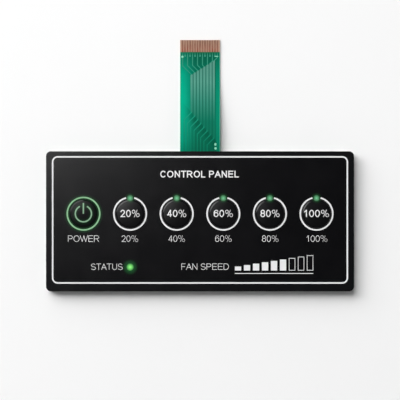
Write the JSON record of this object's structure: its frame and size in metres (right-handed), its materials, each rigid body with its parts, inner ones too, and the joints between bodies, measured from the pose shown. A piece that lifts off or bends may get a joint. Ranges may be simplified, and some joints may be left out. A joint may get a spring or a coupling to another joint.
{
  "type": "membrane keypad",
  "caption": "Flat black membrane keypad with a row of raised round tactile keys, lamp windows, a printed level graph and a green flexible circuit tail with contact fingers.",
  "frame": {"origin": "middle of the panel's rear face, on the release liner's underside", "axes": "+X along the key row to the right, +Y in the panel's plane towards the tail, +Z out of the face to the user"},
  "size_m": [0.154, 0.126, 0.0038],
  "materials": {
    "face_film": "black hard-coated polyester film with a fine satin texture",
    "white_ink": "opaque white screen-printed ink",
    "green_ink": "see-through green ink lit from behind",
    "clear_adhesive": "transfer adhesive film",
    "black_film": "black polyester spacer",
    "clear_plastic": "moulded clear polycarbonate",
    "green_laminate": "flexible laminate under a green cover coat",
    "masked_copper": "copper tracks under the green cover coat",
    "bare_copper": "bare tinned-copper contacts, dull",
    "gold_plate": "plated copper pads",
    "black_aluminium": "black anodised sheet",
    "liner_paper": "smooth coated kraft release paper",
    "amber_film": "amber polyimide stiffener",
    "dome_steel": "thin stainless spring steel",
    "lamp_body": "white lamp base with a pale lens"
  },
  "bodies": {
    "panel": {"graphic_overlay": "face_film", "white_print": "white_ink", "green_windows": "green_ink", "overlay_adhesive": "clear_adhesive", "dome_spacer": "black_film", "light_guide_ring": "clear_plastic", "flex_circuit": "green_laminate", "copper_tracks": "masked_copper", "contact_fingers": "bare_copper", "dome_contact_pads": "gold_plate", "circuit_adhesive": "clear_adhesive", "backing_plate": "black_aluminium", "mounting_adhesive": "clear_adhesive", "release_liner": "liner_paper", "tail_stiffener": "amber_film", "dome_power": "dome_steel", "dome_20": "dome_steel", "dome_40": "dome_steel", "dome_60": "dome_steel", "dome_80": "dome_steel", "dome_100": "dome_steel", "led_power": "lamp_body", "led_20": "lamp_body", "led_40": "lamp_body", "led_60": "lamp_body", "led_80": "lamp_body", "led_100": "lamp_body", "led_status": "lamp_body"},
    "key_power": {"plunger_power": "clear_plastic"},
    "key_20": {"plunger_20": "clear_plastic"},
    "key_40": {"plunger_40": "clear_plastic"},
    "key_60": {"plunger_60": "clear_plastic"},
    "key_80": {"plunger_80": "clear_plastic"},
    "key_100": {"plunger_100": "clear_plastic"}
  },
  "joints": [
    {"name": "press_power", "type": "slide", "parent": "panel", "child": "key_power", "axis": [0, 0, -1], "range_m": [0, 0.0004], "stiffness_N_per_m": 7500, "deforming": ["dome_power"]},
    {"name": "press_20", "type": "slide", "parent": "panel", "child": "key_20", "axis": [0, 0, -1], "range_m": [0, 0.0004], "stiffness_N_per_m": 7500, "deforming": ["dome_20"]},
    {"name": "press_40", "type": "slide", "parent": "panel", "child": "key_40", "axis": [0, 0, -1], "range_m": [0, 0.0004], "stiffness_N_per_m": 7500, "deforming": ["dome_40"]},
    {"name": "press_60", "type": "slide", "parent": "panel", "child": "key_60", "axis": [0, 0, -1], "range_m": [0, 0.0004], "stiffness_N_per_m": 7500, "deforming": ["dome_60"]},
    {"name": "press_80", "type": "slide", "parent": "panel", "child": "key_80", "axis": [0, 0, -1], "range_m": [0, 0.0004], "stiffness_N_per_m": 7500, "deforming": ["dome_80"]},
    {"name": "press_100", "type": "slide", "parent": "panel", "child": "key_100", "axis": [0, 0, -1], "range_m": [0, 0.0004], "stiffness_N_per_m": 7500, "deforming": ["dome_100"]}
  ]
}
